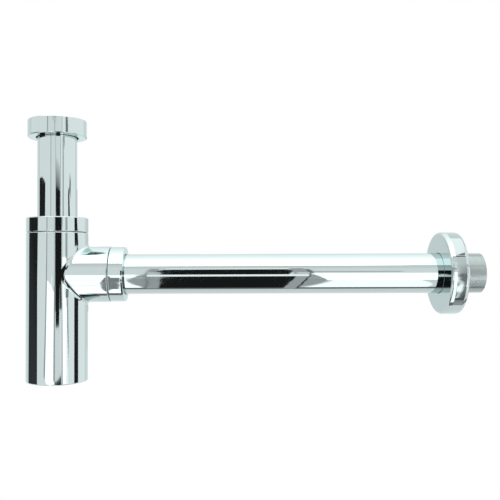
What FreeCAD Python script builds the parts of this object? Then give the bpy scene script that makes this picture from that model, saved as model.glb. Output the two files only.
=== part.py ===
import FreeCAD, Part
import math
import os

# Chrome plated bottle trap for a washbasin, in millimetres.
# The inlet axis is +Z and the outlet axis is +X. The origin is the top of the union gasket
# on the inlet axis, where the tail of the basin waste lands.

# Tubes
tube_od = 32.0
tube_wall = 1.0
collar_width = 3.2          # the collar stands out this far round the top of the inlet tube
collar_thickness = 1.6
edge_break = 0.3            # 45 degree chamfer on cut tube ends, washers and rings
water_seal = 50.0           # depth of the dip end below the lip of the outlet
outlet_drop = 117.0         # gasket top down to the outlet axis
outlet_reach = 339.2        # inlet axis to the wall end of the outlet tube
spigot_length = 22.0        # bare end that enters the wall pipe
spigot_step = 0.2           # the bare end is this much smaller in radius than the polished tube

# Union nut and gasket
union_thread_od = 41.9
union_thread_lead = 1.05    # chamfer at the mouth of the thread
union_wall = 2.85
union_height = 13.6
union_floor = 2.2
union_round = 0.8
union_foot_round = 2.2
union_lip_clearance = 1.0   # floor of the union nut round the inlet tube
gasket_thickness = 2.0
gasket_bore_gap = 0.2
recess_clearance = 0.3      # round the collar and the gasket

# Compression joints, the same at the neck and at the boss
thread_height = 7.4
thread_clearance = 0.3
thread_lead = 0.6
spigot_wall = 1.8           # between the outlet thread and the seat inside it
seat_depth = 3.0            # straight part of the seat, above its 45 degree cone
seal_width = 1.8
seal_stand = 0.3            # the seal stands this far out of its seat
seal_clearance = 0.2
seal_toe = 0.5              # width of the flat under the seal's cone
slip_ring_width = 3.15
slip_ring_thickness = 1.2
slip_gap = 0.1
guide_clearance = 0.35      # throat, guide bore and slip rings round a tube
lip_clearance = 0.5         # lips of the ring nuts round a tube
seam_gap = 0.2
seam_round = 0.8

# Ring nuts
inlet_ring_wall = 1.95
inlet_ring_height = 12.0
inlet_ring_round = 0.8
outlet_ring_wall = 1.7
outlet_ring_height = 12.0
outlet_ring_taper = 1.5     # shallow cone at the far end
outlet_ring_taper_drop = 0.38
outlet_ring_round = 0.5

# Bottle
bottle_wall = 1.75
bottle_floor = 2.5
bottle_depth = 85.5         # outlet axis down to the underside
bottle_foot_round = 0.8
chamber_round = 1.5
neck_height = 33.7          # outlet axis up to the seam under the inlet ring nut
throat_length = 10.0
boss_inset = 2.35           # the boss is this much smaller in radius than the bottle
boss_step = 0.4             # and this much larger than the outlet ring nut
boss_wall = 3.9
boss_reach = 44.1           # inlet axis to the seam under the outlet ring nut
boss_blend = 2.5
guide_length = 13.15        # straight bore that holds the end of the outlet tube
tube_stop_width = 3.5       # inner lip that stops the outlet tube
tube_stop_gap = 4.0         # the outlet tube is fitted this far from the lip

# Wall flange
flange_od = 65.5
flange_depth = 13.6
flange_wall = 1.4
flange_round = 2.4
flange_lip_round = 0.8
flange_neck_round = 0.4
flange_neck = 5.0           # drawn collar that runs on the tube, from the front face
flange_clearance = 0.2
wall_insert = 19.2          # the tube passes this far into the wall

# Radii, worked outwards from the tube
tube_r = tube_od / 2
bore_r = tube_r - tube_wall
collar_r = tube_r + collar_width
guide_r = tube_r + guide_clearance
slip_ring_r = guide_r + slip_ring_width
seat_r = tube_r + 2 * seal_clearance + seal_width
outlet_thread_r = seat_r + spigot_wall
outlet_ring_r = outlet_thread_r + thread_clearance + outlet_ring_wall
boss_r = outlet_ring_r + boss_step
passage_r = boss_r - boss_wall
bottle_r = boss_r + boss_inset
chamber_r = bottle_r - bottle_wall
inlet_thread_r = bottle_r - inlet_ring_wall - thread_clearance
union_thread_r = union_thread_od / 2
union_r = union_thread_r + union_wall

# Heights on the inlet axis
collar_top = -gasket_thickness
collar_under = collar_top - collar_thickness
union_under = collar_under - union_floor
union_top = union_under + union_height
outlet_z = -outlet_drop
seam_z = outlet_z + neck_height
bottle_under = outlet_z - bottle_depth
dip_end = outlet_z - bore_r - water_seal

# Heights in a compression joint, from its seam
seat_cone_top = thread_height - seat_depth
seat_cone_foot = seat_cone_top - (seat_r - guide_r)
seal_top = thread_height + seal_stand
slip_top = seal_top + slip_ring_thickness
nut_ceiling = slip_top + slip_gap

# Places on the outlet axis, from the inlet axis
stop_end = boss_reach + seat_cone_foot - guide_length
passage_reach = stop_end - tube_stop_width
outlet_start = stop_end + tube_stop_gap
flange_back = outlet_reach - wall_insert
flange_front = flange_back - flange_depth


def corner(before, point, after, radius):
    """Ends and middle of the arc of the given radius that rounds the corner at point."""
    to_before = (before - point).normalize()
    to_after = (after - point).normalize()
    half = to_before.getAngle(to_after) / 2
    along = radius / math.tan(half)
    inward = (to_before + to_after).normalize()
    middle = point + inward * (radius / math.sin(half) - radius)
    return point + to_before * along, middle, point + to_after * along


def turned(*points):
    """Solid of revolution about Z from (radius, height) points. A third number rounds that corner."""
    places = [FreeCAD.Vector(p[0], 0, p[1]) for p in points]
    rounds = [p[2] if len(p) > 2 else 0 for p in points]
    arcs = []
    for i, place in enumerate(places):
        if rounds[i]:
            arcs.append(corner(places[i - 1], place, places[(i + 1) % len(places)], rounds[i]))
        else:
            arcs.append((place, place, place))
    edges = []
    for i, (start, middle, end) in enumerate(arcs):
        if rounds[i]:
            edges.append(Part.Arc(start, middle, end).toShape())
        following = arcs[(i + 1) % len(arcs)][0]
        edges.append(Part.makeLine(end, following))
    face = Part.Face(Part.Wire(edges))
    return face.revolve(FreeCAD.Vector(0, 0, 0), FreeCAD.Vector(0, 0, 1), 360)


def on_neck(shape):
    """Move a piece drawn from its seam plane up to the neck of the bottle."""
    return shape.translated(FreeCAD.Vector(0, 0, seam_z))


def on_outlet(shape):
    """Turn a piece drawn along Z from the inlet axis so that it lies along the outlet axis."""
    lying = shape.rotated(FreeCAD.Vector(0, 0, 0), FreeCAD.Vector(0, 1, 0), 90)
    return lying.translated(FreeCAD.Vector(0, 0, outlet_z))


def on_boss(shape):
    """Move a piece drawn from its seam plane to the end of the boss."""
    return on_outlet(shape.translated(FreeCAD.Vector(0, 0, boss_reach)))


def union_nut():
    """Plain round nut: a floor under the collar, a recess for collar and gasket, the thread above."""
    hole = tube_r + union_lip_clearance
    recess = collar_r + recess_clearance
    return turned(
        (hole, union_under),
        (union_r, union_under, union_foot_round),
        (union_r, union_top, union_round),
        (union_thread_r + union_thread_lead, union_top),
        (union_thread_r, union_top - union_thread_lead),
        (union_thread_r, 0),
        (recess, 0),
        (recess, collar_under),
        (hole, collar_under),
    )


def union_gasket():
    """Flat rubber washer on the collar of the inlet tube."""
    bore = bore_r + gasket_bore_gap
    return turned(
        (bore, collar_top),
        (collar_r - edge_break, collar_top),
        (collar_r, collar_top + edge_break),
        (collar_r, -edge_break),
        (collar_r - edge_break, 0),
        (bore, 0),
    )


def inlet_tube():
    """Tube with a turned-out collar on top, long enough to dip into the water of the bottle."""
    return turned(
        (bore_r, collar_top - edge_break),
        (bore_r + edge_break, collar_top),
        (collar_r - edge_break, collar_top),
        (collar_r, collar_top - edge_break),
        (collar_r, collar_under + edge_break),
        (collar_r - edge_break, collar_under),
        (tube_r, collar_under),
        (tube_r, dip_end + edge_break),
        (tube_r - edge_break, dip_end),
        (bore_r, dip_end),
    )


def ring_nut(outer, height, thread, end_round, taper=0, taper_drop=0):
    """Round nut with a lip at its far end, drawn from the seam plane up. A taper can lead to that end."""
    lip = tube_r + lip_clearance
    taper_start = [(outer, height - taper)] if taper else []
    return turned(
        (thread + thread_lead, seam_gap),
        (outer, seam_gap, seam_round),
        *taper_start,
        (outer - taper_drop, height, end_round),
        (lip + edge_break, height),
        (lip, height - edge_break),
        (lip, nut_ceiling),
        (thread, nut_ceiling),
        (thread, seam_gap + thread_lead),
    )


def slip_ring():
    """Plastic ring that lets the nut turn without dragging the seal."""
    return turned(
        (guide_r, seal_top),
        (slip_ring_r - edge_break, seal_top),
        (slip_ring_r, seal_top + edge_break),
        (slip_ring_r, slip_top - edge_break),
        (slip_ring_r - edge_break, slip_top),
        (guide_r, slip_top),
    )


def seal_ring():
    """Tapered rubber ring that follows the seat: a straight band above a 45 degree cone."""
    bore = tube_r + seal_clearance
    band = bore + seal_width
    toe = bore + seal_toe
    cone_top = seat_cone_top + seal_clearance * (math.sqrt(2) - 1)
    cone_foot = cone_top - (band - toe)
    return turned(
        (bore, cone_foot),
        (toe, cone_foot),
        (band, cone_top),
        (band, seal_top - edge_break),
        (band - edge_break, seal_top),
        (bore + edge_break, seal_top),
        (bore, seal_top - edge_break),
    )


def threaded_spigot(outer):
    """Solid male end of a compression joint, rooted as far below the seam plane as it stands up."""
    return turned(
        (0, -thread_height),
        (outer, -thread_height),
        (outer, thread_height - thread_lead),
        (outer - thread_lead, thread_height),
        (0, thread_height),
    )


def seat_and_guide(guide_foot):
    """Space inside a male end: the seal's seat, its cone and the guide bore down to guide_foot."""
    above = thread_height + seat_depth
    return turned(
        (0, guide_foot),
        (guide_r, guide_foot),
        (guide_r, seat_cone_foot),
        (seat_r, seat_cone_top),
        (seat_r, above),
        (0, above),
    )


def bottle_body():
    """One casting: closed bottle, side boss blended into it, and a male end on neck and boss."""
    shell = turned(
        (0, bottle_under),
        (bottle_r, bottle_under, bottle_foot_round),
        (bottle_r, seam_z, seam_round),
        (0, seam_z),
    )
    boss = on_outlet(turned(
        (0, 0),
        (boss_r, 0),
        (boss_r, boss_reach, seam_round),
        (0, boss_reach),
    ))
    outside = shell.fuse(boss).removeSplitter()
    outside = outside.makeFillet(boss_blend, blend_edges(outside))
    outside = outside.fuse([
        on_neck(threaded_spigot(inlet_thread_r)),
        on_boss(threaded_spigot(outlet_thread_r)),
    ])

    chamber_top = seat_cone_foot - throat_length
    chamber = turned(
        (0, bottle_under + bottle_floor),
        (chamber_r, bottle_under + bottle_floor, chamber_round),
        (chamber_r, seam_z + chamber_top, chamber_round),
        (0, seam_z + chamber_top),
    )
    passage = on_outlet(Part.makeCylinder(passage_r, passage_reach))
    stop = on_outlet(Part.makeCylinder(bore_r, stop_end))
    neck_space = on_neck(seat_and_guide(chamber_top - chamber_round))
    boss_space = on_boss(seat_and_guide(stop_end - boss_reach))
    return outside.cut([chamber, passage, stop, neck_space, boss_space]).removeSplitter()


def blend_edges(outside):
    """Edges of the curve where the boss meets the bottle: the ones that lie on both cylinders."""
    found = []
    for edge in outside.Edges:
        point = edge.valueAt((edge.FirstParameter + edge.LastParameter) / 2)
        from_inlet = math.hypot(point.x, point.y)
        from_outlet = math.hypot(point.y, point.z - outlet_z)
        on_bottle = abs(from_inlet - bottle_r) < 0.01
        on_side = abs(from_outlet - boss_r) < 0.01
        if on_bottle and on_side:
            found.append(edge)
    return found


def outlet_tube():
    """Straight tube from the boss to the wall, with a bare end that enters the wall pipe."""
    spigot_r = tube_r - spigot_step
    step = outlet_reach - spigot_length
    return on_outlet(turned(
        (bore_r, outlet_start),
        (tube_r - edge_break, outlet_start),
        (tube_r, outlet_start + edge_break),
        (tube_r, step),
        (spigot_r, step),
        (spigot_r, outlet_reach - edge_break),
        (spigot_r - edge_break, outlet_reach),
        (bore_r, outlet_reach),
    ))


def wall_flange():
    """Deep drawn rosette: flat front, straight rim open to the wall, collar drawn in round the tube."""
    outer = flange_od / 2
    inner = outer - flange_wall
    hole = tube_r + flange_clearance
    neck = hole + flange_wall
    inside = flange_front + flange_wall
    neck_end = flange_front + flange_neck
    return on_outlet(turned(
        (hole, flange_front + edge_break),
        (hole + edge_break, flange_front),
        (outer, flange_front, flange_round),
        (outer, flange_back, flange_lip_round),
        (inner, flange_back),
        (inner, inside, flange_round - flange_wall),
        (neck, inside, flange_neck_round),
        (neck, neck_end),
        (hole, neck_end),
    ))


pieces = {
    "union_nut": union_nut(),
    "union_gasket": union_gasket(),
    "inlet_tube": inlet_tube(),
    "inlet_ring_nut": on_neck(
        ring_nut(bottle_r, inlet_ring_height, inlet_thread_r + thread_clearance, inlet_ring_round)
    ),
    "inlet_slip_ring": on_neck(slip_ring()),
    "inlet_seal": on_neck(seal_ring()),
    "bottle_body": bottle_body(),
    "outlet_ring_nut": on_boss(
        ring_nut(
            outlet_ring_r,
            outlet_ring_height,
            outlet_thread_r + thread_clearance,
            outlet_ring_round,
            outlet_ring_taper,
            outlet_ring_taper_drop,
        )
    ),
    "outlet_slip_ring": on_boss(slip_ring()),
    "outlet_seal": on_boss(seal_ring()),
    "outlet_tube": outlet_tube(),
    "wall_flange": wall_flange(),
}

os.makedirs("parts", exist_ok=True)
for name, shape in pieces.items():
    shape.exportStep(f"parts/{name}.step")
    box = shape.BoundBox
    print(name, shape.isValid(), len(shape.Solids), round(shape.Volume), box)
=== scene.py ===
import bpy
import math
import numpy as np
from mathutils import Matrix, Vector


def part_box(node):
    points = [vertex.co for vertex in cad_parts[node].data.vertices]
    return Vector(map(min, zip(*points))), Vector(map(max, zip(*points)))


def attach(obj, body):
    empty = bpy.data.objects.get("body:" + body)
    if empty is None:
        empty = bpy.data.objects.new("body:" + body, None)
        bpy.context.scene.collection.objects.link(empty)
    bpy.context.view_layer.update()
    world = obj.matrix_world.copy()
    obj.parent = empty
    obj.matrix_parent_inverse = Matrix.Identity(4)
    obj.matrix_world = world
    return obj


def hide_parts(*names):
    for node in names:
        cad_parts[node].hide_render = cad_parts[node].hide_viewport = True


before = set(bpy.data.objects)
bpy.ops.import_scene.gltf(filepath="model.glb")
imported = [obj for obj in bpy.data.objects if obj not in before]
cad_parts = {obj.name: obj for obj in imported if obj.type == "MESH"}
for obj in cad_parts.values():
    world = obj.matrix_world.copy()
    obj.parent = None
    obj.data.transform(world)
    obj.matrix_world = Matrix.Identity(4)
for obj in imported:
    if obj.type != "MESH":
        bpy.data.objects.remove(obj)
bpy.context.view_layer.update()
scene = bpy.context.scene
mm = 0.001
print("frame loaded:", len(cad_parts), "nodes")


# Meshes: every piece is a set of grid surfaces, each with its own normals.
# A surface is (points, normals, wrap, finish): rows x columns x 3 arrays in millimetres,
# wrap joins the last column to the first, and finish is the number of its material.
# A fifth value, where there is one, marks the cells that are kept.

meshing = {
    "columns": 256,         # round a turned piece
    "arcStep": 9.0,         # degrees between the rows of a rounded corner
    "threadRows": 14,       # rows to one pitch of a thread
    "threadFlat": 0.1,      # flats at the top and foot of a thread, as shares of its slope
    "threadRunOut": 0.7,    # pitches over which a thread's ends run out
    "weld": 0.001,          # points this close, in mm, are one point
}
around = np.arange(meshing["columns"]) * 2 * math.pi / meshing["columns"]


# One strip of a turned piece: points (r cos a, r sin a, z) and normals the same way.
def turnStrip(r, z, nr, nz, angles, finish):
    r, z, nr, nz = (np.asarray(v, float)[:, None] for v in (r, z, nr, nz))
    cos, sin = np.cos(angles)[None, :], np.sin(angles)[None, :]
    flat = np.ones_like(cos)
    points = np.stack([r * cos, r * sin, z * flat], -1)
    normals = np.stack([nr * cos, nr * sin, nz * flat], -1)
    return points, normals, True, finish


# Normals of a grid that wraps round: the cross product of its steps along columns and along rows.
def gridNormals(points):
    alongColumns = np.roll(points, -1, 1) - np.roll(points, 1, 1)
    alongRows = np.gradient(points, axis=0, edge_order=2)
    normals = np.cross(alongColumns, alongRows)
    return normals / np.linalg.norm(normals, axis=-1, keepdims=True)


# A screw thread between two heights: the radius goes from plain to full depth and back once a
# pitch, along a helix that climbs one pitch a turn. Both ends run out to the plain radius.
def threadStrip(r, z0, z1, thread, angles, finish):
    pitch, depth = thread
    flat, runOutLength = meshing["threadFlat"], meshing["threadRunOut"] * pitch
    rows = int(abs(z1 - z0) / pitch * meshing["threadRows"]) + 2
    z = np.linspace(z0, z1, rows)[:, None]
    phase = z / pitch - angles[None, :] / (2 * math.pi)
    wave = np.abs(phase - np.round(phase)) * 2              # 0 on the helix, 1 halfway between its turns
    flank = np.clip((wave - flat) / (1 - 2 * flat), 0, 1)
    runOut = np.clip(np.minimum(abs(z - z0), abs(z1 - z)) / runOutLength, 0, 1)
    radius = r + depth * runOut * (1 - flank)
    points = np.stack([radius * np.cos(angles), radius * np.sin(angles), z * np.ones_like(radius)], -1)
    return points, gridNormals(points), True, finish


# Walks round a profile of (radius, height, rounding, finish) points with the metal on its left,
# and gives a strip for each straight run and each rounded corner. The outward normal is the
# walking direction turned a quarter to the right. threads maps a run's number to (pitch, depth).
def turnProfile(profile, angles=around, closed=True, threads={}):
    count = len(profile)
    place = np.array([p[:2] for p in profile], float)
    rounding = [p[2] if len(p) > 2 else 0 for p in profile]
    finish = [p[3] if len(p) > 3 else 0 for p in profile]
    ends, strips = [], []
    for i in range(count):
        if not rounding[i]:
            ends.append((place[i], place[i], None))
            continue
        before, after = place[i - 1] - place[i], place[(i + 1) % count] - place[i]
        before, after = before / np.linalg.norm(before), after / np.linalg.norm(after)
        half = math.acos(np.clip(before @ after, -1, 1)) / 2
        along = rounding[i] / math.tan(half)
        middle = (before + after) / np.linalg.norm(before + after) * rounding[i] / math.sin(half)
        ends.append((place[i] + before * along, place[i] + after * along, place[i] + middle))
    for i in range(count if closed else count - 1):
        start, stop = ends[i][1], ends[(i + 1) % count][0]
        way = (stop - start) / np.linalg.norm(stop - start)
        if i in threads:
            strips.append(threadStrip(start[0], start[1], stop[1], threads[i], angles, finish[i]))
        else:
            run = np.stack([start, stop])
            strips.append(turnStrip(run[:, 0], run[:, 1], [way[1]] * 2, [-way[0]] * 2, angles, finish[i]))
        first, last, centre = ends[(i + 1) % count]
        if centre is None or (not closed and i == count - 2):
            continue
        size = rounding[(i + 1) % count]
        spokes = [(first - centre) / size, (last - centre) / size]
        turn = math.atan2(spokes[0][0] * spokes[1][1] - spokes[0][1] * spokes[1][0], spokes[0] @ spokes[1])
        steps = max(3, int(abs(math.degrees(turn)) / meshing["arcStep"]) + 1)
        swing = math.atan2(spokes[0][1], spokes[0][0]) + np.linspace(0, turn, steps + 1)
        spoke = np.stack([np.cos(swing), np.sin(swing)], -1)
        arc = centre + size * spoke
        out = spoke * math.copysign(1, turn)
        strips.append(turnStrip(arc[:, 0], arc[:, 1], out[:, 0], out[:, 1], angles, finish[i]))
    return strips


# A quarter turn about Y: (x, y, z) becomes (z, y, -x).
def layDown(vectors):
    return np.stack([vectors[..., 2], vectors[..., 1], -vectors[..., 0]], -1)


# Turns a surface drawn along Z so that it lies along the outlet axis.
def layOnOutlet(surface):
    points, normals, wrap, finish = surface
    return layDown(points) + np.array([0, 0, outletZ]), layDown(normals), wrap, finish


def moveUp(surface, height):
    points, normals, wrap, finish = surface
    return points + np.array([0, 0, height]), normals, wrap, finish


# Numbers of a grid's quads, one row of four for each cell, counter-clockwise from outside.
def gridCells(rows, columns, wrap):
    number = np.arange(rows * columns).reshape(rows, columns)
    if wrap:
        number = np.concatenate([number, number[:, :1]], 1)
    return np.stack([number[:-1, :-1], number[:-1, 1:], number[1:, 1:], number[1:, :-1]], -1)


# Welds the surfaces into one mesh object. Cells that the weld makes triangles lose the double corner.
def buildPiece(name, surfaces, materials):
    points, normals, cells, finishes, offset = [], [], [], [], 0
    for surface in surfaces:
        grid, normal, wrap, finish = surface[:4]
        quads = gridCells(grid.shape[0], grid.shape[1], wrap)
        keep = surface[4] if len(surface) > 4 else np.ones(quads.shape[:2], bool)
        quads = quads[keep]
        points.append(grid.reshape(-1, 3))
        normals.append(normal.reshape(-1, 3))
        cells.append(quads + offset)
        finishes.append(np.full(len(quads), finish))
        offset += grid.shape[0] * grid.shape[1]
    points, normals = np.concatenate(points), np.concatenate(normals)
    cells, finishes = np.concatenate(cells), np.concatenate(finishes)
    key = np.round(points / meshing["weld"]).astype(np.int64)
    _, first, welded = np.unique(key, axis=0, return_index=True, return_inverse=True)
    welded = welded.reshape(-1)
    corner = welded[cells]
    double = corner == np.roll(corner, -1, 1)               # a corner that is the same as the next one
    whole, pole = ~double.any(1), double.sum(1) == 1
    loops = np.concatenate([cells[whole].reshape(-1), cells[pole][~double[pole]]])
    sizes = np.concatenate([np.full(whole.sum(), 4), np.full(pole.sum(), 3)])
    mesh = bpy.data.meshes.new(name)
    mesh.vertices.add(len(first))
    mesh.vertices.foreach_set("co", (points[first] * mm).reshape(-1))
    mesh.loops.add(len(loops))
    mesh.loops.foreach_set("vertex_index", welded[loops])
    mesh.polygons.add(len(sizes))
    mesh.polygons.foreach_set("loop_start", np.concatenate([[0], np.cumsum(sizes)[:-1]]))
    mesh.polygons.foreach_set("material_index", np.concatenate([finishes[whole], finishes[pole]]))
    mesh.update(calc_edges=True)
    mesh.validate()
    mesh.shade_smooth()
    mesh.normals_split_custom_set(normals[loops].tolist())
    for material in materials:
        mesh.materials.append(material)
    piece = bpy.data.objects.new(name, mesh)
    scene.collection.objects.link(piece)
    print("made", name, len(sizes), "faces")
    return piece


# Puts a piece on its body, in place of its CAD node.
def fitPiece(piece, body, node):
    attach(piece, body)
    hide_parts(node)


# Materials

def hexColour(code):
    parts = [int(code[i:i + 2], 16) / 255 for i in (1, 3, 5)]
    linear = [c / 12.92 if c <= 0.04045 else ((c + 0.055) / 1.055) ** 2.4 for c in parts]
    return (*linear, 1.0)


# Adds one node: settings by name, and inputs that are either values or the outputs of other nodes.
def addNode(material, kind, inputs={}, **settings):
    tree = material.node_tree
    node = tree.nodes.new(kind)
    for name, value in settings.items():
        setattr(node, name, value)
    for socket, value in inputs.items():
        if isinstance(value, bpy.types.NodeSocket):
            tree.links.new(value, node.inputs[socket])
        else:
            node.inputs[socket].default_value = value
    return node


def startMaterial(name):
    material = bpy.data.materials.new(name)
    material.use_nodes = True
    material.node_tree.nodes.clear()
    return material


# Noise waves to a metre, for blotches of this many millimetres.
def perMetre(size):
    return 1 / (size * mm)


# Bright chromium plate over polished brass: a mirror with a faint cool tint. Handling leaves soft
# hazy patches a few centimetres wide, and the buffing wheel leaves waves too shallow to feel.
chrome = {
    "colour": "#B8C3C3", "hazeColour": "#B2BEBE", "edgeColour": "#F4FEFE",
    "roughness": (0.025, 0.075), "hazePatch": 34.0, "grime": 5.0,
    "buffWave": 11.0, "buffHeight": 0.0016,
}


def makeChrome():
    material = startMaterial("polishedChromePlate")
    place = addNode(material, "ShaderNodeTexCoord").outputs["Object"]
    haze = addNode(material, "ShaderNodeTexNoise", {
        "Vector": place, "Scale": perMetre(chrome["hazePatch"]), "Detail": 3.0, "Roughness": 0.6})
    speck = addNode(material, "ShaderNodeTexNoise", {
        "Vector": place, "Scale": perMetre(chrome["grime"]), "Detail": 5.0, "Roughness": 0.7})
    both = addNode(material, "ShaderNodeMath", {0: haze.outputs["Fac"], 1: speck.outputs["Fac"]},
                   operation="MULTIPLY")
    rough = addNode(material, "ShaderNodeMapRange", {
        "Value": both.outputs[0], "From Min": 0.15, "From Max": 0.4,
        "To Min": chrome["roughness"][0], "To Max": chrome["roughness"][1]})
    tint = addNode(material, "ShaderNodeMix", {
        "Factor": haze.outputs["Fac"], "A": hexColour(chrome["colour"]),
        "B": hexColour(chrome["hazeColour"])}, data_type="RGBA")
    wave = addNode(material, "ShaderNodeTexNoise", {
        "Vector": place, "Scale": perMetre(chrome["buffWave"]), "Detail": 1.0})
    bump = addNode(material, "ShaderNodeBump", {
        "Height": wave.outputs["Fac"], "Strength": 1.0, "Distance": chrome["buffHeight"] * mm})
    shader = addNode(material, "ShaderNodeBsdfPrincipled", {
        "Base Color": tint.outputs["Result"], "Metallic": 1.0,
        "Specular Tint": hexColour(chrome["edgeColour"]),
        "Roughness": rough.outputs["Result"], "Normal": bump.outputs["Normal"]})
    addNode(material, "ShaderNodeOutputMaterial", {"Surface": shader.outputs[0]})
    return material


# Bare brass with only a thin nickel flash, drawn and not polished: dull grey metal with a fine
# grain and darker water marks. Inside, where no plating reaches, it is brown with dark stains, and
# both inside colours are set darker still as painted shade for the bores and hollows.
bare = {
    "colour": "#A6B1AF", "markColour": "#8B9694", "roughness": (0.18, 0.28),
    "mark": 9.0, "grain": 0.5, "grainHeight": 0.001,
    "insideColourDarkenedForShade": "#6E6349", "stainColourDarkenedForShade": "#4C4433",
}


def makeBare(name, colour, markColour):
    material = startMaterial(name)
    place = addNode(material, "ShaderNodeTexCoord").outputs["Object"]
    mark = addNode(material, "ShaderNodeTexNoise", {
        "Vector": place, "Scale": perMetre(bare["mark"]), "Detail": 4.0, "Roughness": 0.65})
    grain = addNode(material, "ShaderNodeTexNoise", {
        "Vector": place, "Scale": perMetre(bare["grain"]), "Detail": 1.0})
    tint = addNode(material, "ShaderNodeMix", {
        "Factor": mark.outputs["Fac"], "A": hexColour(colour), "B": hexColour(markColour)}, data_type="RGBA")
    rough = addNode(material, "ShaderNodeMapRange", {
        "Value": mark.outputs["Fac"], "From Min": 0.3, "From Max": 0.7,
        "To Min": bare["roughness"][0], "To Max": bare["roughness"][1]})
    bump = addNode(material, "ShaderNodeBump", {
        "Height": grain.outputs["Fac"], "Strength": 0.5, "Distance": bare["grainHeight"] * mm})
    shader = addNode(material, "ShaderNodeBsdfPrincipled", {
        "Base Color": tint.outputs["Result"], "Metallic": 1.0,
        "Roughness": rough.outputs["Result"], "Normal": bump.outputs["Normal"]})
    addNode(material, "ShaderNodeOutputMaterial", {"Surface": shader.outputs[0]})
    return material


# Moulded EPDM rubber: near black, matt, with a grey bloom and the grain of the mould.
rubber = {"colour": "#1B1B1C", "bloomColour": "#2E2F30", "roughness": 0.62, "bloom": 6.0,
          "grain": 0.35, "grainHeight": 0.02}


def makeRubber():
    material = startMaterial("mouldedEpdmRubber")
    place = addNode(material, "ShaderNodeTexCoord").outputs["Object"]
    bloom = addNode(material, "ShaderNodeTexNoise", {
        "Vector": place, "Scale": perMetre(rubber["bloom"]), "Detail": 4.0})
    grain = addNode(material, "ShaderNodeTexNoise", {
        "Vector": place, "Scale": perMetre(rubber["grain"]), "Detail": 2.0})
    tint = addNode(material, "ShaderNodeMix", {
        "Factor": bloom.outputs["Fac"], "A": hexColour(rubber["colour"]),
        "B": hexColour(rubber["bloomColour"])}, data_type="RGBA")
    bump = addNode(material, "ShaderNodeBump", {
        "Height": grain.outputs["Fac"], "Strength": 0.6, "Distance": rubber["grainHeight"] * mm})
    shader = addNode(material, "ShaderNodeBsdfPrincipled", {
        "Base Color": tint.outputs["Result"], "Roughness": rubber["roughness"], "IOR": 1.5,
        "Normal": bump.outputs["Normal"]})
    addNode(material, "ShaderNodeOutputMaterial", {"Surface": shader.outputs[0]})
    return material


# Moulded polyethylene: milky white with a waxy half gloss and faint flow marks.
plastic = {"colour": "#E9E8E2", "flowColour": "#DDDCD4", "roughness": 0.42, "flow": 7.0,
           "skin": 0.5, "skinHeight": 0.01}


def makePlastic():
    material = startMaterial("mouldedPolyethylene")
    place = addNode(material, "ShaderNodeTexCoord").outputs["Object"]
    flow = addNode(material, "ShaderNodeTexNoise", {
        "Vector": place, "Scale": perMetre(plastic["flow"]), "Detail": 3.0, "Distortion": 1.5})
    skin = addNode(material, "ShaderNodeTexNoise", {
        "Vector": place, "Scale": perMetre(plastic["skin"]), "Detail": 1.0})
    tint = addNode(material, "ShaderNodeMix", {
        "Factor": flow.outputs["Fac"], "A": hexColour(plastic["colour"]),
        "B": hexColour(plastic["flowColour"])}, data_type="RGBA")
    bump = addNode(material, "ShaderNodeBump", {
        "Height": skin.outputs["Fac"], "Strength": 0.4, "Distance": plastic["skinHeight"] * mm})
    shader = addNode(material, "ShaderNodeBsdfPrincipled", {
        "Base Color": tint.outputs["Result"], "Roughness": plastic["roughness"], "IOR": 1.51,
        "Subsurface Weight": 0.15, "Subsurface Scale": 0.002, "Normal": bump.outputs["Normal"]})
    addNode(material, "ShaderNodeOutputMaterial", {"Surface": shader.outputs[0]})
    return material


chromePlate = makeChrome()
bareMetal = makeBare("drawnNickelFlashedBrass", bare["colour"], bare["markColour"])
# The inside finish: unplated brass, its colours darkened as painted shade for the bores and recesses.
rawBrassWithPaintedShade = makeBare("unplatedBrassBoreWithPaintedShade", bare["insideColourDarkenedForShade"], bare["stainColourDarkenedForShade"])
blackRubber = makeRubber()
whitePlastic = makePlastic()
plated = [chromePlate, rawBrassWithPaintedShade, bareMetal]     # finishes 0, 1 and 2 of the metal pieces
print("materials made")


# Sizes that the CAD nodes give, in millimetres.
def nodeBox(node):
    low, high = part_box(node)
    return [v / mm for v in low], [v / mm for v in high]


unionLow, unionHigh = nodeBox("union_nut")
inletLow, inletHigh = nodeBox("inlet_tube")
bottleLow, bottleHigh = nodeBox("bottle_body")
inletRingHigh = nodeBox("inlet_ring_nut")[1]
outletRingHigh = nodeBox("outlet_ring_nut")[1]
outletLow, outletHigh = nodeBox("outlet_tube")
flangeLow, flangeHigh = nodeBox("wall_flange")
gasketLow, gasketHigh = nodeBox("union_gasket")
sealLow, sealHigh = nodeBox("inlet_seal")
slipLow, slipHigh = nodeBox("inlet_slip_ring")

outletZ = (outletLow[2] + outletHigh[2]) / 2
tubeR = (outletHigh[1] - outletLow[1]) / 2
bottleR = -bottleLow[0]

# Compression joints: the neck and the boss have the same seat, nut lip and packing above their seams.
joint = {
    "threadHeight": 7.4,    # male end above its seam
    "seamGap": 0.2, "seamRound": 0.8, "threadLead": 0.6,
    "seatR": 18.2, "seatDepth": 3.0, "guideR": 16.35, "lipR": 16.5,
    "thread": 1.5,          # pitch of the ring nuts' thread
    "threadDepth": 0.75, "edge": 0.3,
    "slipGap": 0.1,         # between a slip ring and the ceiling of its nut
    "tubeWall": 1.0,
}
seamZ = bottleHigh[2] - joint["threadHeight"]
seamX = bottleHigh[0] - joint["threadHeight"]
slipTop = slipHigh[2] - seamZ
boreR = tubeR - joint["tubeWall"]


# A surface drawn from its seam up goes on the bottle's neck, or lies on the boss.
def putOnNeck(surface):
    return moveUp(surface, seamZ)


def putOnBoss(surface):
    return layOnOutlet(moveUp(surface, seamX))


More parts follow.
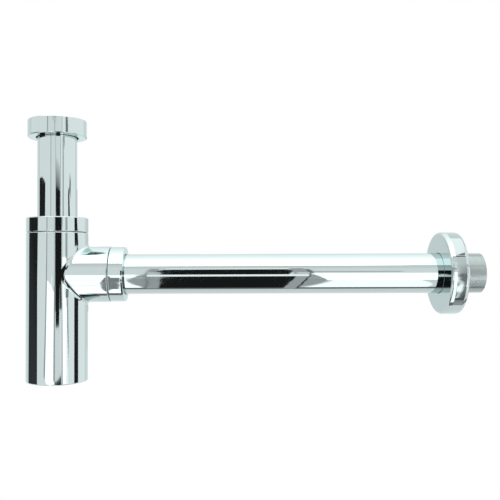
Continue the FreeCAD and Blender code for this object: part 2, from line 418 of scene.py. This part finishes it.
# Union nut: a round nut with a floor under the collar and the basin waste's thread in its mouth.
unionNut = {"round": 0.8, "footRound": 0.8, "floor": 2.2, "lipR": 17.0, "lipEdge": 0.3,
            "recessR": 19.5, "threadR": 20.95, "lead": 1.05, "pitch": 2.309, "threadDepth": 1.35,
            "threadEnd": 0.0}       # height of its last turn, at the gasket's top


def makeUnionNut():
    u = unionNut
    r, low, high = unionHigh[0], unionLow[2], unionHigh[2]
    shelf = low + u["floor"]
    surfaces = turnProfile([
        (u["lipR"], low, u["lipEdge"]), (r, low, u["footRound"]), (r, high, u["round"]),
        (u["threadR"] + u["lead"], high), (u["threadR"], high - u["lead"], 0, 1),
        (u["threadR"], u["threadEnd"], 0, 1), (u["recessR"], u["threadEnd"], 0, 1),
        (u["recessR"], shelf, 0, 1), (u["lipR"], shelf, 0, 1),
    ], threads={4: (u["pitch"], -u["threadDepth"])})
    piece = buildPiece("unionNut", surfaces, plated)
    fitPiece(piece, "union_nut", "union_nut")


# Flat gasket: a washer with softened edges and a shallow bead round the middle of its top.
gasket = {"clearance": 0.2, "edge": 0.3, "boreEdge": 0.2,
          "beadWidth": 0.6, "beadHeight": 0.15, "beadRound": 0.1}


def makeGasket():
    g = gasket
    bore, r = boreR + g["clearance"], gasketHigh[0]
    low, high = gasketLow[2], gasketHigh[2]
    bead, width, top = (bore + r) / 2, g["beadWidth"], high - g["beadHeight"]
    surfaces = turnProfile([
        (bore, low), (r, low, g["edge"]), (r, top, g["edge"]), (bead + width, top),
        (bead + width / 2, high, g["beadRound"]), (bead - width / 2, high, g["beadRound"]),
        (bead - width, top), (bore, top, g["boreEdge"]),
    ])
    piece = buildPiece("unionGasket", surfaces, [blackRubber])
    fitPiece(piece, "inlet_tube", "union_gasket")


# Inlet tube: a drawn tube with its collar turned out at the top.
inletTube = {"collar": 1.6, "edge": 0.3, "boreEdge": 0.2}


def makeInletTube():
    e = inletTube["edge"]
    top, end, r = inletHigh[2], inletLow[2], inletHigh[0]
    under = top - inletTube["collar"]
    surfaces = turnProfile([
        (boreR, end, inletTube["boreEdge"]), (tubeR, end, e), (tubeR, under, e),
        (r, under, e), (r, top, e, 1), (boreR, top, e, 1),
    ])
    piece = buildPiece("inletTube", surfaces, plated)
    fitPiece(piece, "inlet_tube", "inlet_tube")


# Ring nut: a round nut drawn from its seam up, threaded inside, with a lip that closes on the tube.
# The far end of the outlet's nut is a shallow cone.
ringNut = {"inletRound": 0.8, "outletRound": 0.5, "outletTaper": 1.5, "outletDrop": 0.38,
           "inletThreadR": 22.8, "outletThreadR": 20.3}


def ringNutSurfaces(r, height, threadR, endRound, taper=0, drop=0):
    gap, lead, e = joint["seamGap"], joint["threadLead"], joint["edge"]
    ceiling = slipTop + joint["slipGap"]
    cone = [(r, height - taper)] if taper else []
    profile = [(threadR + lead, gap), (r, gap, joint["seamRound"])] + cone + [
        (r - drop, height, endRound), (joint["lipR"], height, e), (joint["lipR"], ceiling, 0, 1),
        (threadR, ceiling, 0, 1), (threadR, gap + lead, 0, 1)]
    return turnProfile(profile, threads={len(profile) - 2: (joint["thread"], joint["threadDepth"])})


def makeRingNuts():
    n = ringNut
    plain = ringNutSurfaces(inletRingHigh[0], inletRingHigh[2] - seamZ, n["inletThreadR"], n["inletRound"])
    piece = buildPiece("inletRingNut", [putOnNeck(s) for s in plain], plated)
    fitPiece(piece, "inlet_ring_nut", "inlet_ring_nut")
    coned = ringNutSurfaces(outletRingHigh[1], outletRingHigh[0] - seamX, n["outletThreadR"],
                            n["outletRound"], n["outletTaper"], n["outletDrop"])
    piece = buildPiece("outletRingNut", [putOnBoss(s) for s in coned], plated)
    fitPiece(piece, "outlet_ring_nut", "outlet_ring_nut")


# Slip rings and tapered seals, one pair in each compression joint.
packing = {"slipEdge": 0.3, "slipBoreEdge": 0.15, "sealBand": 18.0, "sealBore": 16.2, "sealToe": 0.5,
           "sealEdge": 0.3, "toeRound": 0.1,
           "sealGap": 0.03}         # the seal stops this far short of the slip ring


def makePacking():
    p = packing
    low, high, r = slipLow[2] - seamZ, slipHigh[2] - seamZ, slipHigh[0]
    slip = turnProfile([
        (joint["guideR"], low, p["slipBoreEdge"]), (r, low, p["slipEdge"]), (r, high, p["slipEdge"]),
        (joint["guideR"], high, p["slipBoreEdge"])])
    foot, top = sealLow[2] - seamZ, sealHigh[2] - seamZ - p["sealGap"]
    coneTop = foot + p["sealBand"] - p["sealBore"] - p["sealToe"]
    seal = turnProfile([
        (p["sealBore"], foot), (p["sealBore"] + p["sealToe"], foot, p["toeRound"]),
        (p["sealBand"], coneTop, p["sealEdge"]), (p["sealBand"], top, p["sealEdge"]),
        (p["sealBore"], top, p["sealEdge"])])
    for side, put, sealBody in (("inlet", putOnNeck, "inlet_seal"), ("outlet", putOnBoss, "bottle")):
        ring = buildPiece(side + "SlipRing", [put(s) for s in slip], [whitePlastic])
        fitPiece(ring, side + "_slip_ring", side + "_slip_ring")
        rubberRing = buildPiece(side + "Seal", [put(s) for s in seal], [blackRubber])
        fitPiece(rubberRing, sealBody, side + "_seal")


# Bottle: one casting. The boss meets the bottle in a rolling-ball blend, and the neck and the boss
# both end in a male thread round a seal's seat.
bottle = {
    "footRound": 0.8, "wall": 1.75, "floor": 2.5, "chamberRound": 1.5, "throat": 10.0,
    "neckThreadR": 22.5, "bossThreadR": 20.0, "bossR": 22.4, "passageR": 18.5, "blend": 2.8,
    "stopWidth": 3.5, "guideLength": 13.15,
    "patchRows": 44,        # rows of the wall beside the boss
    "outerReach": 29.5,     # half height of the wall patch round the blend
    "innerReach": 21.5,     # and of the one round the passage
    "rings": 14,            # from a hole's edge to the rim of its patch
    "blendRows": 12, "bossRows": 4,
}


# Rim of the half of a wall that faces the outlet, walked counter-clockwise from outside: angles, heights.
def patchRim(halfHeight):
    quarter = meshing["columns"] // 4
    turn = np.arange(-quarter, quarter + 1) * 2 * math.pi / meshing["columns"]
    rise = np.linspace(-halfHeight, halfHeight, bottle["patchRows"] + 1)
    angle = np.concatenate([turn[:-1], np.full(len(rise) - 1, turn[-1]), turn[:0:-1],
                            np.full(len(rise) - 1, turn[0])])
    height = np.concatenate([np.full(len(turn) - 1, rise[0]), rise[:-1], np.full(len(turn) - 1, rise[-1]),
                             rise[:0:-1]])
    return angle, height


# A round wall from low to high with a hole towards the outlet. The wall is a grid of whole rows
# without the cells of that half, and rings of points slide from the hole's edge out to its rim.
def piercedWall(r, low, high, holeAngle, holeHeight, halfHeight, inside, finish):
    quarter = meshing["columns"] // 4
    beside = outletZ + np.linspace(-halfHeight, halfHeight, bottle["patchRows"] + 1)
    rows = np.concatenate([[low], beside, [high]])
    side = -1.0 if inside else 1.0
    points, normals, wrap, _ = turnStrip(np.full(len(rows), r), rows, np.full(len(rows), side),
                                         np.zeros(len(rows)), around, finish)
    keep = np.ones((len(rows) - 1, meshing["columns"]), bool)
    keep[1:-1, :quarter] = False
    keep[1:-1, -quarter:] = False
    rimAngle, rimHeight = patchRim(halfHeight)
    slide = np.linspace(0, 1, bottle["rings"] + 1)[:, None]
    angle = holeAngle + slide * (rimAngle - holeAngle)
    height = outletZ + holeHeight + slide * (rimHeight - holeHeight)
    patch = np.stack([r * np.cos(angle), r * np.sin(angle), height], -1)
    out = side * np.stack([np.cos(angle), np.sin(angle), np.zeros_like(angle)], -1)
    if inside:      # the inner face looks at the axis, so its rows run the other way
        return [(points[::-1], normals[::-1], wrap, finish, keep[::-1]), (patch, out, True, finish)]
    return [(points, normals, wrap, finish, keep), (patch[::-1], out[::-1], True, finish)]


def makeBottle():
    b, j = bottle, joint
    low, r = bottleLow[2], bottleR
    chamberR = r - b["wall"]
    coneTop = j["threadHeight"] - j["seatDepth"]
    coneFoot = coneTop - (j["seatR"] - j["guideR"])
    chamberLow, chamberHigh = low + b["floor"], seamZ + coneFoot - b["throat"]
    maleThread = (j["thread"], -j["threadDepth"])

    # Below the wall and above it, then down the inside to the chamber's wall, and its floor.
    foot = turnProfile([(0, low), (r, low, b["footRound"]), (r, low + 2 * b["footRound"])], closed=False)[:2]
    neck = turnProfile([
        (r, seamZ - 2 * j["seamRound"]), (r, seamZ, j["seamRound"]),
        (b["neckThreadR"], seamZ), (b["neckThreadR"], seamZ + j["threadHeight"] - j["threadLead"]),
        (b["neckThreadR"] - j["threadLead"], seamZ + j["threadHeight"]),
        (j["seatR"], seamZ + j["threadHeight"], 0, 1), (j["seatR"], seamZ + coneTop, 0, 1),
        (j["guideR"], seamZ + coneFoot, 0, 1), (j["guideR"], chamberHigh, 0, 1),
        (chamberR, chamberHigh, b["chamberRound"], 1), (chamberR, chamberHigh - 2 * b["chamberRound"], 0, 1),
    ], closed=False, threads={2: maleThread})[1:-1]
    floor = turnProfile([
        (chamberR, chamberLow + 2 * b["chamberRound"], 0, 1), (chamberR, chamberLow, b["chamberRound"], 1),
        (0, chamberLow, 0, 1)], closed=False)[1:]

    # The blend starts on the boss at one distance all round from where the bare walls would meet. A
    # ball rolls in the corner and swells at the front and back, where the walls meet flat. Its centre is
    # at the boss's angle on a wider boss and a wider bottle, and it touches each wall straight towards
    # that wall's axis.
    rimAngle, rimHeight = patchRim(b["outerReach"])
    bossAngle = np.unwrap(np.arctan2(rimHeight, r * rimAngle))
    cos, sin = np.cos(bossAngle), np.sin(bossAngle)
    meet = np.sqrt(r ** 2 - (b["bossR"] * cos) ** 2)
    start = meet + b["blend"]
    gain, lift = start ** 2 - meet ** 2, r - b["bossR"] * cos ** 2
    ball = gain / (lift + np.sqrt(lift ** 2 + gain * sin ** 2))
    far = b["bossR"] + ball
    centre = np.stack([start, far * cos, far * sin], -1)
    touch = centre * (r / (r + ball))[:, None]
    toBottle = -centre * np.array([1, 1, 0]) / (r + ball)[:, None]
    toBoss = -np.stack([np.zeros_like(cos), cos, sin], -1)
    corner = np.arccos(np.clip((toBottle * toBoss).sum(-1, keepdims=True), -1, 1))
    t = np.linspace(0, 1, b["blendRows"] + 1)[:, None, None]
    spoke = (np.sin((1 - t) * corner) * toBottle + np.sin(t * corner) * toBoss) / np.sin(corner)
    blend = centre + ball[:, None] * spoke + np.array([0, 0, outletZ])
    blendOut = gridNormals(blend)
    blendOut[0], blendOut[-1] = -toBottle, -toBoss
    wall = piercedWall(r, low + b["footRound"], seamZ - j["seamRound"],
                       np.arctan2(touch[:, 1], touch[:, 0]), far * sin, b["outerReach"], False, 0)

    # The boss: out along its wall, round its male end and back down the guide and the passage.
    slide = np.linspace(0, 1, b["bossRows"] + 1)[:, None]
    shoulder = seamX - j["seamRound"]
    bossWall = np.stack([
        start + slide * (shoulder - start), b["bossR"] * cos + 0 * slide,
        outletZ + b["bossR"] * sin + 0 * slide], -1)
    bossOut = np.stack([0 * (cos + slide), cos + 0 * slide, sin + 0 * slide], -1)
    stopEnd = seamX + coneFoot - b["guideLength"]
    passageEnd = stopEnd - b["stopWidth"]
    lathe = turnProfile([
        (b["bossR"], shoulder - j["seamRound"]), (b["bossR"], seamX, j["seamRound"]),
        (b["bossThreadR"], seamX), (b["bossThreadR"], seamX + j["threadHeight"] - j["threadLead"]),
        (b["bossThreadR"] - j["threadLead"], seamX + j["threadHeight"]),
        (j["seatR"], seamX + j["threadHeight"], 0, 1), (j["seatR"], seamX + coneTop, 0, 1),
        (j["guideR"], seamX + coneFoot, 0, 1), (j["guideR"], stopEnd, 0, 1),
        (boreR, stopEnd, 0, 1), (boreR, passageEnd, 0, 1), (b["passageR"], passageEnd, 0, 1),
    ], angles=bossAngle + math.pi / 2, closed=False, threads={2: maleThread})[1:]
    mouth = np.sqrt(chamberR ** 2 - (b["passageR"] * cos) ** 2)
    passage = np.stack([
        passageEnd + slide * (mouth - passageEnd), b["passageR"] * cos + 0 * slide,
        outletZ + b["passageR"] * sin + 0 * slide], -1)
    chamber = piercedWall(chamberR, chamberLow + b["chamberRound"], chamberHigh - b["chamberRound"],
                          np.arctan2(b["passageR"] * cos, mouth), b["passageR"] * sin,
                          b["innerReach"], True, 1)

    surfaces = foot + wall + neck + chamber + floor + [
        (blend, blendOut, True, 0), (bossWall, bossOut, True, 0), (passage, -bossOut, True, 1),
    ] + [layOnOutlet(s) for s in lathe]
    piece = buildPiece("bottleBody", surfaces, plated)
    fitPiece(piece, "bottle", "bottle_body")


# Outlet tube: polished as far as the flange hides it, then a slightly smaller bare end for the wall.
outletTube = {"spigot": 22.0, "spigotStep": 0.2, "edge": 0.3, "boreEdge": 0.2}


def makeOutletTube():
    o = outletTube
    start, end = outletLow[0], outletHigh[0]
    step, spigotR = end - o["spigot"], tubeR - o["spigotStep"]
    surfaces = turnProfile([
        (boreR, start, o["boreEdge"]), (tubeR, start, o["edge"]), (tubeR, step), (spigotR, step, 0, 2),
        (spigotR, end, o["edge"], 2), (boreR, end, o["boreEdge"], 1)])
    piece = buildPiece("outletTube", [layOnOutlet(s) for s in surfaces], plated)
    fitPiece(piece, "outlet_tube", "outlet_tube")


# Wall flange: a deep drawn rosette, open to the wall, with a collar drawn in round the tube. Its side
# falls in a little to the front and to the lip, as drawn sheet does.
wallFlange = {"wall": 1.4, "insideRound": 1.0, "neck": 5.0, "neckRound": 0.4, "clearance": 0.2, "edge": 0.3,
              "round": 2.0, "fall": 0.32, "fallDepth": 3.5, "blend": 8.0,
              "lipRound": 0.7, "lipFall": 0.45, "lipDepth": 2.0, "lipBlend": 6.0}


def makeWallFlange():
    f = wallFlange
    front, back, r = flangeLow[0], flangeHigh[0], flangeHigh[1]
    hole = tubeR + f["clearance"]
    neck, inner, inside = hole + f["wall"], r - f["wall"], front + f["wall"]
    surfaces = turnProfile([
        (hole, front, f["edge"]), (r - f["fall"], front, f["round"]), (r, front + f["fallDepth"], f["blend"]),
        (r, back - f["lipDepth"], f["lipBlend"]), (r - f["lipFall"], back, f["lipRound"]),
        (inner, back, f["edge"], 2), (inner, inside, f["insideRound"], 2), (neck, inside, f["neckRound"], 2),
        (neck, front + f["neck"], f["edge"], 2), (hole, front + f["neck"], f["edge"], 2)])
    piece = buildPiece("wallFlange", [layOnOutlet(s) for s in surfaces], plated)
    fitPiece(piece, "wall_flange", "wall_flange")


makeUnionNut()
makeGasket()
makeInletTube()
makeRingNuts()
makePacking()
makeBottle()
makeOutletTube()
makeWallFlange()
print("pieces made")


# Camera: a normal lens just above the outlet's axis, shifted sideways and looking slightly up.
view = {"place": (132.8, -518.6, -110.0), "yaw": 1.30, "pitch": 1.36, "roll": -0.23,
        "focal": 641.9, "frame": 500,       # in pixels of a square picture
        "sensor": 36.0, "shift": 0.0876}


def makeCamera():
    yaw, pitch, roll = (math.radians(view[k]) for k in ("yaw", "pitch", "roll"))
    camera = bpy.data.cameras.new("photoCamera")
    camera.sensor_width = view["sensor"]
    camera.lens = view["focal"] * camera.sensor_width / view["frame"]
    camera.shift_x = view["shift"]
    holder = bpy.data.objects.new("photoCamera", camera)
    tip = math.pi / 2 + pitch       # a camera faces down until it is tipped up
    stand = Matrix.Rotation(yaw, 4, "Z") @ Matrix.Rotation(tip, 4, "X") @ Matrix.Rotation(roll, 4, "Z")
    holder.matrix_world = Matrix.Translation([v * mm for v in view["place"]]) @ stand
    scene.collection.objects.link(holder)
    scene.camera = holder


# Studio: a pale floor far below the hung trap, a white room and one large softbox overhead. Cards all
# round give the chrome its bands. They are stage, and only reflections see them.
studio = {
    "floorX": 150.0, "floorZ": -760.0, "floorR": 900.0, "floorFade": (420.0, 860.0), "floorColour": "#F1F1EF",
    "room": 1.0,            # what the camera sees
    "mirrored": 1.12,       # what reflections see of it
    "fill": 0.55,           # what lights rough surfaces
    "cards": 1.25,          # brightness of a card marked 1
}


def makeWorld():
    world = bpy.data.worlds.new("whiteRoom")
    scene.world = world
    world.use_nodes = True
    world.node_tree.nodes.clear()
    path = addNode(world, "ShaderNodeLightPath")
    seen = addNode(world, "ShaderNodeMath", {
        0: path.outputs["Is Camera Ray"], 1: path.outputs["Is Transmission Ray"]}, operation="MAXIMUM")
    shown = addNode(world, "ShaderNodeMath", {
        0: seen.outputs[0], 1: studio["room"] - studio["fill"], 2: studio["fill"]}, operation="MULTIPLY_ADD")
    level = addNode(world, "ShaderNodeMath", {
        0: path.outputs["Is Glossy Ray"], 1: studio["mirrored"] - studio["fill"], 2: shown.outputs[0]},
        operation="MULTIPLY_ADD")
    light = addNode(world, "ShaderNodeBackground", {
        "Color": (1, 1, 1, 1), "Strength": level.outputs[0]})
    addNode(world, "ShaderNodeOutputWorld", {"Surface": light.outputs[0]})


# The floor is a disc that fades out towards the white room. Reflections see it as white as the room.
def makeFloor():
    s = studio
    material = startMaterial("paleFloor")
    place = addNode(material, "ShaderNodeTexCoord").outputs["Object"]
    flat = addNode(material, "ShaderNodeVectorMath", {0: place, 1: (1, 1, 0)}, operation="MULTIPLY")
    away = addNode(material, "ShaderNodeVectorMath", {
        0: flat.outputs[0], 1: (s["floorX"] * mm, 0, 0)}, operation="DISTANCE")
    near, far = s["floorFade"]
    fade = addNode(material, "ShaderNodeMapRange", {
        "Value": away.outputs["Value"], "From Min": near * mm, "From Max": far * mm},
        interpolation_type="SMOOTHSTEP")
    paint = addNode(material, "ShaderNodeBsdfDiffuse", {"Color": hexColour(s["floorColour"])})
    glow = addNode(material, "ShaderNodeEmission", {"Strength": s["mirrored"]})
    path = addNode(material, "ShaderNodeLightPath")
    seen = addNode(material, "ShaderNodeMixShader", {
        0: path.outputs["Is Glossy Ray"], 1: paint.outputs[0], 2: glow.outputs[0]})
    clear = addNode(material, "ShaderNodeBsdfTransparent")
    both = addNode(material, "ShaderNodeMixShader", {
        0: fade.outputs["Result"], 1: seen.outputs[0], 2: clear.outputs[0]})
    addNode(material, "ShaderNodeOutputMaterial", {"Surface": both.outputs[0]})
    material.cycles.emission_sampling = "NONE"
    rim = np.stack([s["floorX"] + s["floorR"] * np.cos(around), s["floorR"] * np.sin(around),
                    np.full(len(around), s["floorZ"])], -1)
    mesh = bpy.data.meshes.new("floor")
    mesh.from_pydata((rim * mm).tolist(), [], [list(range(len(rim)))])
    mesh.materials.append(material)
    floor = bpy.data.objects.new("floor", mesh)
    scene.collection.objects.link(floor)


# Cards: brightness and corners in millimetres. A standing card is (distance in front, x and height
# pairs), a lying one (height, x and y pairs), a leaning one (height at y = 0, fall along y, x and y
# pairs), and a free one has whole corners. Heights count from the outlet axis. A list of
# brightnesses, one for each corner, fades across the card.
standing = {
    "frontWall": (1.0, 3200, [(-3000, -2600), (3300, -2600), (3300, 1900), (-3000, 1900)]),
    "farBoard": (0.014, 3016, [(-232, 820), (539, 820), (539, 1480), (-212, 1480)]),
    "boardFade": ([0.1, 0.1, 0.85, 0.85], 1016, [(98, 185), (561, 185), (561, 258), (98, 258)]),
    "boardTop": (1.22, 1010, [(-11, 490), (311, 490), (311, 650), (-11, 650)]),
    "cameraBoard": (0.014, 415, [(41, -20), (228, -20), (235, 118), (41, 118)]),
    "cameraFoot": (0.014, 415, [(66, -78), (160, -78), (172, -20), (60, -20)]),
    "footLeft": (0.28, 415, [(8, -56), (66, -56), (60, -20), (20, -20)]),
    "footRight": (0.08, 415, [(172, -56), (240, -56), (228, -20), (172, -20)]),
    "lowBar": (0.014, 415, [(47, -240), (228, -240), (224, -152), (50, -152)]),
    "sideLeft": (0.5, 415, [(26, -5), (41, -5), (41, 250), (26, 250)]),
    "sideRight": (0.5, 415, [(235, -5), (256, -5), (256, 250), (235, 250)]),
    "sideLine": (0.2, 415, [(256, -5), (263, -5), (263, 200), (256, 200)]),
    "rail": (1.3, 90, [(66, -19.3), (212, -19.3), (212, -4.2), (66, -4.2)]),
    "leftPanel": (1.75, 415, [(-230, -160), (24, -160), (24, -30), (-25, -24), (-52, -20), (-130, -14),
                              (-168, -14), (-192, -82)]),
    "leftEnd": (1.6, 1216, [(-125, -410), (-95, -410), (-95, -20), (-125, -20)]),
    "leftPoleLow": (0.45, 415, [(-285, -158), (-231, -158), (-193, -82), (-170, -14), (-203, -14),
                                (-232, -82)]),
    "leftPole": (0.45, 415, [(-203, -14), (-170, -14), (-158, 50), (-155, 250), (-186, 250), (-187, 50)]),
    "rightPanel": (1.75, 415, [(256, -312), (620, -312), (570, -155), (542, -90), (468, -39), (447, 20),
                               (256, 20)]),
    "bandRight": (0.5, 411, [(239, -172), (257, -172), (256, -18), (239, -18)]),
    "bandRightTop": (0.85, 411, [(239, -18), (256, -18), (258, 64), (239, 64)]),
    "lineRight": (0.05, 412, [(256, -172), (259, -172), (259, -20), (260, 64), (257, 64), (256, -20)]),
    "wedgeRight": (0.47, 413, [(259, -174), (281, -174), (273, -105), (262, -20), (259, -20)]),
    "bandLeft": (0.5, 411, [(29, -151), (47, -151), (49, -20), (30, -20)]),
    "bandLeftTop": (0.78, 411, [(30, -20), (49, -20), (48, 82), (28, 82)]),
    "lineLeft": (0.2, 412, [(25, -150), (29, -150), (30, 0), (28, 84), (26, 84), (27, 0)]),
    "wedgeLeft": (0.47, 413, [(5, -150), (25, -150), (27, 0), (25, 0), (13, -81)]),
    "bossShadeTop": (0.3, 45, [(34.5, -19.5), (50, -19.5), (50.4, -8), (43, -8), (42, -4), (40, -4),
                               (38, -8)]),
    "rightPoleLow": (0.6, 415, [(572, -158), (640, -158), (560, -39), (470, -39), (544, -90)]),
    "rightPole": (0.5, 1016, [(965, 0), (1165, 0), (1165, 400), (965, 400)]),
    "highPole": (0.1, 1014, [(1030, 405), (1420, 405), (1420, 500), (1030, 500)]),
    "softboxEdge": (0.3, 493, [(-400, 462), (525, 462), (525, 498), (-400, 498)]),
    "rimGrey": ([0.6, 0.2, 0.55, 0.8, 0.84, 0.84, 0.8, 0.75], 408, [
        (447, 0), (470, 0), (478, 140), (506, 300), (531, 402), (503, 402), (482, 300), (455, 140)]),
    "rimLine": (0.05, 406, [(503, 398), (531, 408), (548, 456), (526, 440), (512, 452)]),
    "rimDark": ([0.25, 0.2, 0.2, 0.45], 407, [(446, -60), (470, -60), (470, 2), (447, 2)]),
    "endShade": ([0.2, 0.9, 0.9, 0.35], 411, [(470, -250), (512, -250), (512, 200), (472, 200)]),
    "flangeBack": (0.8, -430, [(110, -120), (270, -120), (270, 120), (110, 120)]),
    "backBoard": (0.4, -430, [(-50, -60), (100, -60), (100, 120), (-50, 120)]),
}
lying = {
    "carpet": (0.014, -416, [(36, -30), (32, -239), (-13, -1000), (-79, -1760), (436, -1760), (335, -1000),
                             (247, -239), (236, -30)]),
    "bossShade": (0.3, -417, [(-33, -130), (-64, -395), (-116, -740), (-77, -740), (-33, -395), (-18, -215),
                              (-29, -215), (-29, -130)]),
    "rimFloorNear": ([0.45, 0.45, 0.35, 0.35], -416, [(446, 30), (472, 30), (472, -60), (446, -60)]),
    "rimFloor": ([0.35, 0.35, 0.04, 0.04], -416, [(446, -60), (472, -60), (493, -186), (466, -186)]),
    "rimFloorFar": ([0.04, 0.04, 0.15, 0.15], -416, [(466, -186), (493, -186), (512, -265), (480, -265)]),
    "softboxWing": (1.64, 499, [(468, -490), (525, -490), (468, -60)]),
    "softboxBack": ([1.62, 1.62, 1.33, 1.33], 500, [(-300, 0), (466, 0), (485, 240), (-300, 240)]),
    "softboxFade": ([1.33, 1.33, 1.1, 1.1], 500, [(-300, 240), (485, 240), (573, 640), (-300, 640)]),
    "rimTop": (1.33, 505, [(472, -490), (640, -490), (640, 190), (472, 190)]),
    "rimCurve": (0.15, 503, [(541, -440), (556, -440), (521, -130), (515, -130)]),
    # Painted shadow: a dark strip straight under the trap, seen only in reflections, standing in for the
    # trap's own shadow.
    "underShadowStrip": (0.2, -418, [(-400, -52), (800, -52), (800, 42), (-400, 42)]),
    "floorLine": (1.2, -418, [(330, -555), (520, -555), (535, -600), (340, -600)]),
    "bossLine": (1.1, -418, [(-135, -440), (-75, -440), (-72, -412), (-132, -412)]),
    "floorRight": (1.6, -420, [(250, -45), (325, -466), (360, -710), (545, -710), (481, -466), (424, -45)]),
    "floorLeft": (1.75, -420, [(-95, -45), (-140, -466), (-260, -1000), (-100, -1000), (-31, -466),
                               (26, -45)]),
}
bandFall, rimFall = 0.577, 1.19      # mm down for each mm back
leaning = {
    "bandRightLow": (0.48, -393, bandFall, [(238, -395), (222, -235), (217, -100), (219, 17),
                                            (236, 17), (233, -100), (238, -235), (254, -395)]),
    "lineRightLow": (0.05, -394, bandFall, [(254, -395), (238, -235), (233, -100), (236, 17),
                                            (239, 17), (236, -100), (241, -235), (257, -395)]),
    "wedgeRightLow": (0.47, -395, bandFall, [(257, -395), (241, -235), (236, -100), (239, 17),
                                             (239, -85), (254, -156), (275, -291), (278, -393)]),
    "bandLeftLow": (0.48, -393, bandFall, [(46, -415), (54, -215), (52, -99), (47, -7),
                                           (30, -7), (36, -99), (39, -215), (28, -415)]),
    "lineLeftLow": (0.2, -394, bandFall, [(28, -415), (39, -215), (36, -99), (30, -7),
                                          (26, -7), (33, -99), (36, -215), (25, -415)]),
    "wedgeLeftLow": (0.47, -395, bandFall, [(25, -415), (36, -215), (33, -99), (26, -7),
                                            (27, -99), (18, -174), (6, -313), (4, -421)]),
    "rimShadow": ([0.25, 0.2, 0.2, 0.15, 0.1, 0.1, 0.15, 0.2], -503, rimFall, [
        (451, -425), (470, -425), (434, -286), (437, -182), (459, -94), (442, -94), (420, -182),
        (416, -286)]),
    "rimGlow": (1.7, -495, rimFall, [
        (436, -380), (428, -330), (422, -251), (423, -191), (433, -137), (432, -129), (413, -241)]),
}
free = {
    "rightWall": (1.12, [
        (1500, -3000, -1500), (1500, 1500, -1500), (1500, 1500, 1500), (1500, -3000, 1500)]),
    "leftWall": (1.03, [
        (-1500, -3300, -1500), (-1500, 300, -1500), (-1500, 300, 1500), (-1500, -3300, 1500)]),
    "leftBack": (0.88, [
        (-1300, 300, -1500), (-700, 1800, -1500), (-700, 1800, 1500), (-1300, 300, 1500)]),
    "leftBoard": ([0.055, 0.055, 0.02, 0.02, 0.02], [
        (-372, 140, -220), (-345, -195, -220), (-345, -195, -20), (-335, -225, 122), (-388, 97, 128)]),
    "rightBoard": (0.02, [(600, -128, -260), (600, 62, -260), (600, 62, -40), (600, -128, -40)]),
    "rightBoardHigh": (0.02, [(600, -111, 40), (600, 70, 40), (600, 15, 76), (600, -40, 122), (600, -55, 140),
                              (600, -140, 136)]),
    "rightSmudge": (0.3, [(600, -55, 136), (600, 40, 120), (600, 70, 150), (600, -20, 165)]),
}


def makeCards():
    material = startMaterial("studioCard")
    level = addNode(material, "ShaderNodeAttribute", attribute_name="level")
    glow = addNode(material, "ShaderNodeEmission", {"Strength": level.outputs["Fac"]})
    addNode(material, "ShaderNodeOutputMaterial", {"Surface": glow.outputs[0]})
    material.cycles.emission_sampling = "NONE"
    cards = dict(free)
    for name, (levels, distance, corners) in standing.items():
        cards[name] = (levels, [(x, -distance, z) for x, z in corners])
    for name, (levels, height, corners) in lying.items():
        cards[name] = (levels, [(x, y, height) for x, y in corners])
    for name, (levels, height, fall, corners) in leaning.items():
        cards[name] = (levels, [(x, y, height - fall * y) for x, y in corners])
    for name, (levels, corners) in cards.items():
        mesh = bpy.data.meshes.new(name)
        points = [(x * mm, y * mm, (z + outletZ) * mm) for x, y, z in corners]
        mesh.from_pydata(points, [], [list(range(len(points)))])
        shades = mesh.attributes.new("level", "FLOAT", "POINT")
        shade = np.broadcast_to(np.float32(levels), len(points))
        shades.data.foreach_set("value", np.float32(studio["cards"]) * shade)
        mesh.materials.append(material)
        card = bpy.data.objects.new(name, mesh)
        card.visible_camera = False
        card.visible_diffuse = False
        card.visible_shadow = False
        card.visible_transmission = False
        scene.collection.objects.link(card)


# Softbox: a lamp over the trap, level, that faces down. Brightness is that of its face.
softbox = {"place": (84, -245, 500), "width": 768, "depth": 490, "level": 1.53}


def makeSoftbox():
    lamp = bpy.data.lights.new("softbox", "AREA")
    lamp.shape = "RECTANGLE"
    lamp.size, lamp.size_y = softbox["width"] * mm, softbox["depth"] * mm
    lamp.energy = softbox["level"] * math.pi * lamp.size * lamp.size_y      # watts for that brightness
    holder = bpy.data.objects.new("softbox", lamp)
    x, y, z = softbox["place"]
    holder.matrix_world = Matrix.Translation((x * mm, y * mm, (z + outletZ) * mm))
    holder.visible_camera = False
    scene.collection.objects.link(holder)


makeCamera()
makeWorld()
makeFloor()
makeCards()
makeSoftbox()
scene.view_settings.view_transform = "Standard"
print("studio made")
